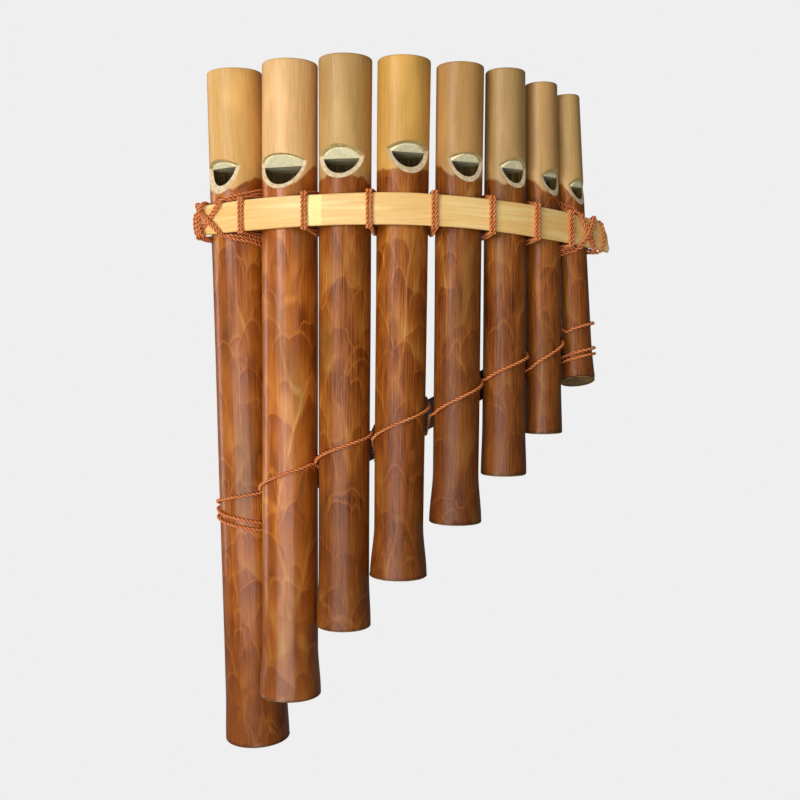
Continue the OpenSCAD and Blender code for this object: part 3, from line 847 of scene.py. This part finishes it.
def skin(i):
    """Bare bamboo at the mouth and feathered, glossy lacquer below it."""
    s = Shade(f"skin_{i + 1}")
    at, seed = s.place(), 31.0 * (i + 1)
    fibre = s.noise(s.stretched(at, 2.6, 2.6, 0.055, seed), 1.0, 3.0, 0.6)
    fine = s.noise(s.stretched(at, 9.0, 9.0, 0.22, seed), 1.0, 2.0, 0.6)
    cloud = s.noise(s.stretched(at, 0.11, 0.11, 0.035, seed), 1.0, 2.0)
    grain = s.add(s.times(fibre, 0.6), s.times(fine, 0.4))
    tone = lacquer_tone(s, i, at, seed, grain, cloud)
    stained = stained_part(s, i, at, seed, fibre)
    colour = s.mix(stained, bare_colour(s, i, at, seed, grain, cloud),
                   lacquer_colour(s, i, at, seed, tone, cloud))
    pits = s.noise(s.stretched(at, 1.4, 1.4, 0.5, seed), 1.0, 3.0, 0.65)
    height = s.add(s.times(grain, 0.5), s.times(pits, 0.5))
    rough = s.add(s.step(pits, 0.35, 0.7, to=(0.32, 0.5)), s.times(s.minus(1.0, stained), 0.1))
    return s.finish(
        Base_Color=colour, Roughness=rough, Normal=s.bump(height, 0.00012, 0.6),
        Specular_IOR_Level=s.step(stained, 0.0, 1.0, to=(0.5, 0.22)),
        Coat_Weight=s.step(stained, 0.0, 1.0, to=(0.08, COAT[i])),
        Coat_Roughness=s.step(pits, 0.35, 0.75, to=(0.1, 0.26)), Coat_Normal=s.bump(height, 0.00005, 0.5),
    )


def cut_bamboo():
    """Sawn and pared faces of the windows and rims: painted shade, olive where they face down, cream
    above.
    """
    s = Shade("cut_bamboo")
    at = s.node("TexCoord").outputs["Object"]
    facing_for_shade = s.split(s.node("NewGeometry").outputs["Normal"])[2]
    grain = s.noise(at, 700.0, 3.0, 0.6)
    pores = s.noise(at, 2600.0, 2.0, 0.6)
    pale = s.mix(s.step(grain, 0.3, 0.7), rgb(214, 184, 140), rgb(240, 220, 186))
    olive = s.mix(s.step(grain, 0.3, 0.7), rgb(176, 150, 90), rgb(206, 182, 120))
    # Painted shade: cut faces that turn down get the darker olive, those that turn up the lit cream
    colour = s.mix(s.step(facing_for_shade, -0.3, 0.3), olive, pale)
    colour = s.mix(s.step(pores, 0.6, 0.76, to=(0.0, 0.22)), colour, rgb(140, 104, 60))
    return s.finish(Base_Color=colour, Roughness=s.step(grain, 0.3, 0.7, to=(0.5, 0.75)),
                    Normal=s.bump(grain, 0.0001, 0.5))


def foot_bamboo():
    """Sawn feet: end grain of the natural node, brown with dark fibre ends."""
    s = Shade("foot_bamboo")
    at = s.place()
    fibres = s.node("TexVoronoi", {"Vector": s.stretched(at, 2.2, 2.2, 0.0), "Scale": 1.0})
    cloud = s.noise(s.stretched(at, 0.4, 0.4, 0.1), 1.0, 3.0, 0.6)
    colour = s.mix(s.step(cloud, 0.3, 0.7), rgb(104, 76, 38), rgb(158, 124, 70))
    dots = s.step(fibres.outputs["Distance"], 0.3, 0.12, to=(0.0, 0.75))
    colour = s.mix(dots, colour, rgb(58, 38, 16))
    return s.finish(Base_Color=colour, Roughness=s.step(cloud, 0.3, 0.7, to=(0.55, 0.8)),
                    Normal=s.bump(s.add(cloud, dots), 0.0001, 0.5))


def bore_bamboo():
    """Smoky inside of the pipes."""
    s = Shade("bore_bamboo")
    at = s.place()
    streak = s.noise(s.stretched(at, 1.2, 1.2, 0.06), 1.0, 3.0, 0.6)
    colour = s.mix(s.step(streak, 0.35, 0.7), rgb(98, 78, 34), rgb(168, 142, 82))
    return s.finish(Base_Color=colour, Roughness=s.step(streak, 0.3, 0.7, to=(0.55, 0.8)),
                    Normal=s.bump(streak, 0.0002, 0.5))


def block_wood():
    """Pale pith-like blocks, pared across the grain."""
    s = Shade("block_wood")
    at = s.node("TexCoord").outputs["Object"]
    grain = s.noise(s.stretched(at, 1500.0, 1500.0, 160.0), 1.0, 3.0, 0.6)
    cloud = s.noise(at, 260.0, 2.0)
    colour = s.mix(s.step(grain, 0.35, 0.65), rgb(240, 228, 174), rgb(255, 250, 212))
    colour = s.mix(s.step(cloud, 0.52, 0.72, to=(0.0, 0.4)), colour, rgb(228, 222, 178))
    return s.finish(Base_Color=colour, Roughness=s.step(grain, 0.3, 0.7, to=(0.38, 0.6)),
                    Normal=s.bump(grain, 0.00012, 0.5))


def split_bamboo(name, tones, patch=0.0):
    """Split strip with its fibres lengthwise: tones are its dark, middle and pale colours."""
    s = Shade(name)
    at = s.place()
    along, across = s.split(at)[:2]
    fibre = s.noise(s.stretched(at, 0.07, 3.2, 1.5), 1.0, 4.0, 0.65)
    broad = s.noise(s.stretched(at, 0.03, 0.45, 0.2, 7.0), 1.0, 2.0)
    dark, middle, pale = [rgb(*tone) for tone in tones]
    colour = s.mix(s.step(fibre, 0.22, 0.58), dark, middle)
    colour = s.mix(s.step(broad, 0.45, 0.68), colour, pale)
    if patch:
        shine = s.times(s.step(along, patch - 0.6, patch + 0.4), s.step(along, patch + 6.2, patch + 5.9))
        colour = s.mix(s.times(shine, 0.85), colour, rgb(252, 240, 152))
    edge = s.step(s.math("ABSOLUTE", across), 4.7, 5.3, to=(0.0, 0.3))
    colour = s.mix(edge, colour, dark)
    speck = s.node("TexVoronoi", {"Vector": s.stretched(at, 0.12, 0.3, 0.3), "Scale": 1.0})
    colour = s.mix(s.times(s.step(speck.outputs["Distance"], 0.07, 0.03), 0.5), colour, dark)
    return s.finish(Base_Color=colour, Roughness=s.step(fibre, 0.3, 0.7, to=(0.3, 0.5)),
                    Normal=s.bump(fibre, 0.0003, 0.55), Coat_Weight=0.25, Coat_Roughness=0.25)


def twine_fibre():
    """Waxed two-ply twine: fine fibres run round each ply, with painted shade where the plies meet."""
    s = Shade("twine_fibre")
    at = s.place()
    run, side, crest = s.split(at)
    slant = s.node("CombineXYZ", {0: s.add(s.times(run, 0.9), side), 1: s.times(run, 0.25), 2: crest})
    fibre = s.noise(slant.outputs[0], 3.4, 3.0, 0.7)
    patch = s.noise(s.stretched(at, 0.12, 0.0, 0.0), 1.0, 2.0)
    colour = s.mix(s.step(fibre, 0.3, 0.68), rgb(226, 108, 46), rgb(248, 166, 102))
    colour = s.mix(s.step(patch, 0.45, 0.75, to=(0.0, 0.4)), colour, rgb(255, 190, 134))
    # Painted shade: darker in the grooves where the two plies meet, following each point's crest value
    colour = s.mix(s.step(crest, 0.15, -0.6, to=(0.0, 0.75)), colour, rgb(136, 58, 20))
    return s.finish(Base_Color=colour, Roughness=s.step(fibre, 0.3, 0.7, to=(0.32, 0.55)),
                    Normal=s.bump(fibre, 0.0001, 0.6), Specular_IOR_Level=0.3)


STRAW = ((228, 174, 96), (252, 206, 126), (255, 222, 148))
AGED = ((44, 24, 10), (78, 48, 24), (104, 70, 38))
MATERIAL = {
    "cut": cut_bamboo(),
    "bore": bore_bamboo(),
    "foot": foot_bamboo(),
    "block": block_wood(),
    "straw": split_bamboo("split_bamboo", STRAW, patch=45.5),
    "straw_back": split_bamboo("split_bamboo_back", STRAW),
    "aged": split_bamboo("aged_bamboo", AGED),
    "twine": twine_fibre(),
}

for number in range(COUNT):
    pipe(number, [skin(number), MATERIAL["cut"], MATERIAL["bore"], MATERIAL["foot"]])
    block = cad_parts[f"block_{number + 1}"]
    block.data.materials.clear()
    block.data.materials.append(MATERIAL["block"])

strip("front_strip", "split_bamboo", "front_band", BAND[1], band_height, BAND_W, MATERIAL["straw"], 1, 1)
strip("rear_strip", "split_bamboo", "rear_band", BAND[-1][::-1], band_height, BAND_W,
      MATERIAL["straw_back"], 2, -1)
strip("slant_strip", "aged_bamboo", "slanting_strip", SLANT[::-1], slant_height, SLANT_W,
      MATERIAL["aged"], 3)

for gap in range(LAST):
    lashing = Shape()
    for turn in (0, 1):
        twine(lashing, lash_turn(gap, turn), closed=True, seed=gap + 0.5 * turn)
    name = f"lashing_{gap + 1}_{gap + 2}"
    lashing.piece("twine_" + name, "twine", [name], [MATERIAL["twine"]], sharp=180)

for end, name in ((0, "end_lashing_long"), (LAST, "end_lashing_short")):
    lashing = Shape()
    for k in (0, 1):
        for up in (1, -1):
            twine(lashing, crossing(end, k, up), closed=True, seed=k + up)
    for k in range(END_TURNS[0 if end == 0 else 1]):
        twine(lashing, upright(end, k), closed=True, seed=4 + k)
    lashing.piece("twine_" + name, "twine", [name], [MATERIAL["twine"]], sharp=180)

cord = Shape()
cord_length = twine(cord, lower_route(), seed=9)
cord.piece("twine_lower_cord", "twine", ["lower_cord"], [MATERIAL["twine"]], sharp=180)
print(f"lower cord {cord_length:.0f} mm")


# Stage, light and camera

def stage_material():
    s = Shade("stage_paper")
    glow = s.node("Emission", {"Color": rgb(239, 239, 239), "Strength": 1.0})
    s.node("OutputMaterial", {"Surface": glow.outputs[0]})
    return s.material


def stage():
    """A seamless sweep of pale paper under and behind the flute."""
    width, near, far, tall, bend = 3.0, -1.5, 1.6, 2.4, 0.6
    profile = [(near, 0.0), (far - bend, 0.0)]
    profile += [(far - bend + bend * math.sin(a), bend - bend * math.cos(a))
                for a in np.linspace(0.1, math.pi / 2, 12)]
    profile.append((far, tall))
    points = [(x, y, z) for y, z in profile for x in (-width, width)]
    faces = [(2 * k, 2 * k + 1, 2 * k + 3, 2 * k + 2) for k in range(len(profile) - 1)]
    mesh = bpy.data.meshes.new("stage_sweep")
    mesh.from_pydata(points, [], faces)
    mesh.materials.append(stage_material())
    mesh.polygons.foreach_set("use_smooth", [True] * len(faces))
    sweep = bpy.data.objects.new("stage_sweep", mesh)
    bpy.context.scene.collection.objects.link(sweep)
    sweep.visible_diffuse = sweep.visible_glossy = sweep.visible_shadow = False


def light(name, place, aim, size, power, colour=(1, 1, 1)):
    lamp = bpy.data.lights.new(name, "AREA")
    lamp.shape, lamp.size, lamp.size_y = "RECTANGLE", size[0], size[1]
    lamp.energy, lamp.color = power, colour
    holder = bpy.data.objects.new(name, lamp)
    bpy.context.scene.collection.objects.link(holder)
    holder.location = place
    way = np.array(aim) - np.array(place)
    flat = math.hypot(way[0], way[1])
    holder.rotation_euler = (math.atan2(flat, -way[2]), 0, math.atan2(-way[0], way[1]))


CAMERA_PLACE = (-0.0011, -0.3777, 0.1469)
CAMERA_DIP = 2.89
CAMERA_LENS = 47.25


def camera():
    view = bpy.data.cameras.new("camera")
    view.lens, view.sensor_width = CAMERA_LENS, 36.0
    view.clip_start = 0.01
    holder = bpy.data.objects.new("camera", view)
    bpy.context.scene.collection.objects.link(holder)
    holder.location = CAMERA_PLACE
    holder.rotation_euler = (math.radians(90 - CAMERA_DIP), 0, 0)
    bpy.context.scene.camera = holder


bpy.context.scene.view_settings.view_transform = "Standard"
middle = (0, 0, 0.15)
camera()
stage()
light("key_light", (-1.12, -1.3, 0.69), middle, (0.7, 1.0), 16.2, (1.0, 0.97, 0.93))
light("streak_light", (-0.45, -1.3, 0.4), middle, (0.1, 1.0), 1.8)
light("left_light", (-0.9, 0.3, 0.25), middle, (0.3, 0.8), 2.0)
light("fill_light", (0.6, -1.2, 0.4), middle, (0.6, 0.6), 1.0)
light("low_light", (-0.15, -0.5, 0.005), (0, 0, 0.21), (0.6, 0.25), 1.5)
world = bpy.data.worlds.new("studio")
world.use_nodes = True
world.node_tree.nodes["Background"].inputs["Color"].default_value = (1, 1, 1, 1)
world.node_tree.nodes["Background"].inputs["Strength"].default_value = 0.12
bpy.context.scene.world = world
